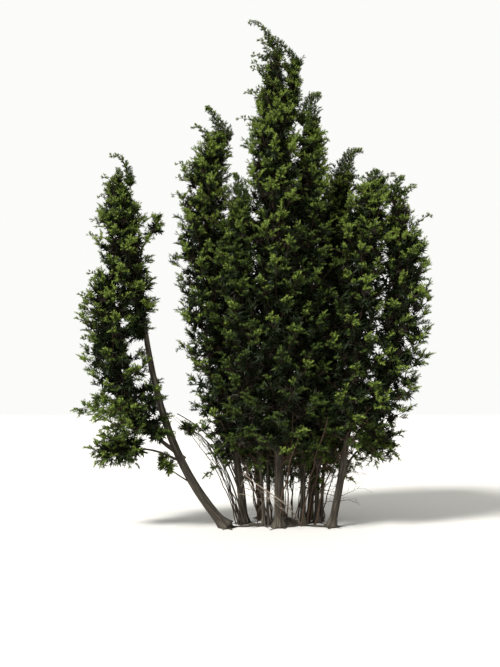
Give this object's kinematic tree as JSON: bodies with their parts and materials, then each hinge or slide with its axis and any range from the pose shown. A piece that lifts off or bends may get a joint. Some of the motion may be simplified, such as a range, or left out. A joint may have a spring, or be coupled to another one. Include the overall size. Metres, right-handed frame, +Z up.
{
  "type": "prickly juniper",
  "caption": "Upright clump of juniper: bare lower stems fanning from one root crown, each carrying a narrow flame-shaped crown of short sharp needles.",
  "frame": {"origin": "centre of the flat cut under the main stem, at ground level", "axes": "+Z up along the plant's height, -Y towards the side shown in the picture, +X to that side's right"},
  "size_m": [4.359, 2.1635, 6.34],
  "materials": {
    "bark": "rough, fibrous, grey-brown",
    "needles": "matte green needle sprays"
  },
  "bodies": {
    "root": {"root_crown": "bark", "main_stem": "bark", "twin_stem": "bark", "front_stem": "bark", "second_stem": "bark", "shoulder_stem": "bark", "dark_stem": "bark", "right_stem": "bark", "right_outer_stem": "bark", "left_stem_leaning": "bark", "left_stem_upright": "bark", "left_outer_stem": "bark", "back_left_stem": "bark", "back_middle_stem": "bark", "back_right_stem": "bark", "left_ground_bough": "bark", "left_side_bough": "bark", "left_low_twig": "bark", "long_whip": "bark", "tall_whip": "bark", "crossing_dead_whip": "bark", "front_slender_stem": "bark", "dark_slender_stem": "bark", "right_low_bough": "bark", "main_foliage_lower": "needles", "main_foliage_middle": "needles", "main_foliage_upper": "needles", "twin_foliage": "needles", "front_foliage_lower": "needles", "front_foliage_upper": "needles", "second_foliage_lower": "needles", "second_foliage_middle": "needles", "second_foliage_upper": "needles", "shoulder_foliage_lower": "needles", "shoulder_foliage_upper": "needles", "dark_foliage_lower": "needles", "dark_foliage_upper": "needles", "right_foliage_lower": "needles", "right_foliage_upper": "needles", "right_outer_foliage_lower": "needles", "right_outer_foliage_upper": "needles", "left_foliage_lower": "needles", "left_foliage_upper": "needles", "left_outer_foliage_lower": "needles", "left_outer_foliage_upper": "needles", "back_left_foliage_lower": "needles", "back_left_foliage_upper": "needles", "back_middle_foliage_lower": "needles", "back_middle_foliage_upper": "needles", "back_right_foliage_lower": "needles", "back_right_foliage_upper": "needles", "left_ground_bough_foliage": "needles", "left_side_bough_foliage": "needles", "left_low_twig_foliage": "needles", "long_whip_foliage": "needles", "right_low_bough_foliage": "needles"}
  },
  "joints": []
}
